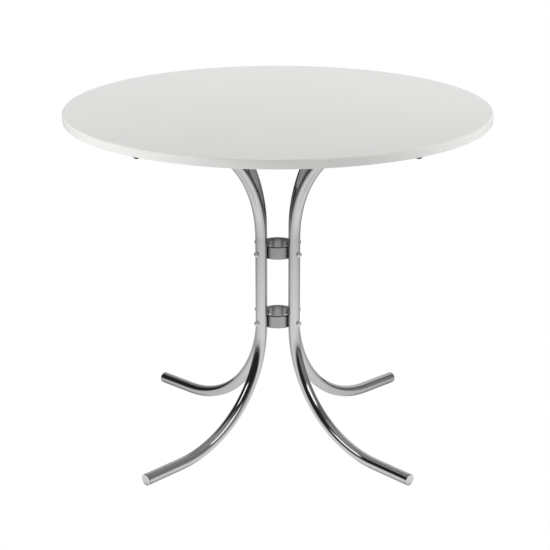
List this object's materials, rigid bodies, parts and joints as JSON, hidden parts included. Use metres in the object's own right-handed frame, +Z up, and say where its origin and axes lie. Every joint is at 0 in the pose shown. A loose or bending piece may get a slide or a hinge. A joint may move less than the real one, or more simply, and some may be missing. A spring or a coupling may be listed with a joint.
{
  "type": "bistro table",
  "caption": "Round cafe table: thin white board on splayed bent chrome tubes bolted round ring collars, each tube an arm, post and foot in one piece.",
  "frame": {"origin": "on the floor, under the centre of the round top", "axes": "+Z up along the table's axis of symmetry; -Y is the front; the four tubes stand on the diagonals between X and Y"},
  "size_m": [0.8999, 0.9, 0.745],
  "materials": {
    "white_laminate": "white decorative laminate, satin, very fine pebble grain",
    "backing_sheet": "white backing sheet, matt",
    "white_edging": "white plastic edge band, satin, eased corners",
    "chipboard": "raw pressed wood chips",
    "chrome_tube": "bright chrome plating with faint drawing lines",
    "chrome_collar": "bright chrome plating, slightly brushed round the ring",
    "bolt_steel": "bright plated steel",
    "zinc_steel": "zinc plated",
    "plated_cap": "moulded plastic with bright chrome plating",
    "black_cap": "black moulded polyethylene, satin"
  },
  "bodies": {
    "root": {"top_core": "chipboard", "top_laminate": "white_laminate", "backing_laminate": "backing_sheet", "edge_band": "white_edging", "leg_rear_right": "chrome_tube", "foot_cap_rear_right": "plated_cap", "arm_cap_rear_right": "black_cap", "leg_rear_left": "chrome_tube", "foot_cap_rear_left": "plated_cap", "arm_cap_rear_left": "black_cap", "leg_front_left": "chrome_tube", "foot_cap_front_left": "plated_cap", "arm_cap_front_left": "black_cap", "leg_front_right": "chrome_tube", "foot_cap_front_right": "plated_cap", "arm_cap_front_right": "black_cap", "collar_lower": "chrome_collar", "collar_bolts_lower": "bolt_steel", "collar_washers_lower": "zinc_steel", "collar_nuts_lower": "zinc_steel", "collar_upper": "chrome_collar", "collar_bolts_upper": "bolt_steel", "collar_washers_upper": "zinc_steel", "collar_nuts_upper": "zinc_steel", "arm_screws": "bolt_steel", "threaded_inserts": "zinc_steel"}
  },
  "joints": []
}
